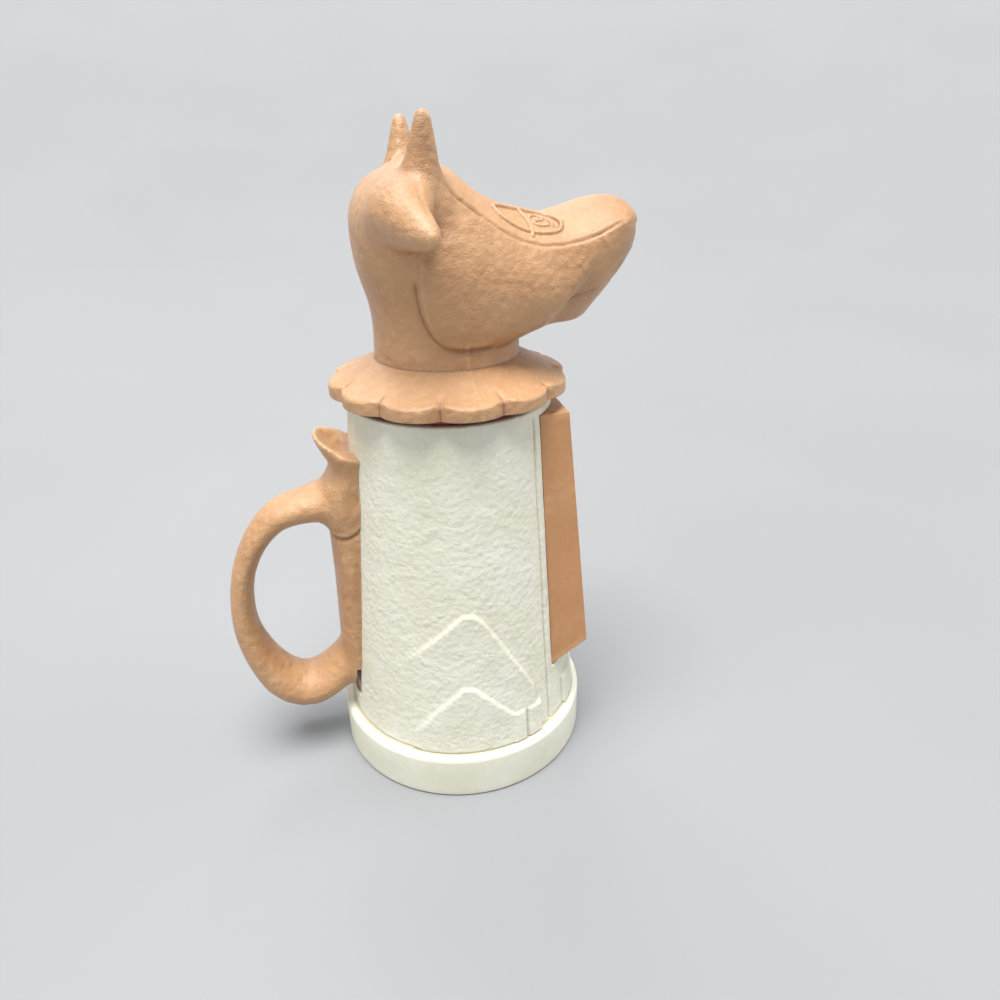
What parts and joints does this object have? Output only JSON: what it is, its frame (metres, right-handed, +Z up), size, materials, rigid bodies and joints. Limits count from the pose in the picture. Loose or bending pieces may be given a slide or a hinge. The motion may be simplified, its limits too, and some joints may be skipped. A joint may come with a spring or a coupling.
{
  "type": "cow creamer",
  "caption": "Moulded plastic cream jug shaped as a cow: tapered beaker with handle and front panel, and a hollow cow's head with a scalloped collar as pouring lid.",
  "frame": {"origin": "centre of the underside of the base ring", "axes": "+Z up, +X towards the snout and the front panel, handle at -X, the two ears at -Y and +Y"},
  "size_m": [0.1087, 0.07, 0.1655],
  "materials": {
    "cream_plastic": "cream, finely pebbled, smooth on the base ring",
    "brown_plastic": "tan brown, satin, faintly mottled and pebbled",
    "panel_plastic": "brown, smooth satin",
    "red_plastic": "dark red, smooth"
  },
  "bodies": {
    "root": {"cup": "cream_plastic", "handle": "brown_plastic", "front_panel": "panel_plastic", "seal_ring": "red_plastic", "head_lid": "brown_plastic"}
  },
  "joints": []
}
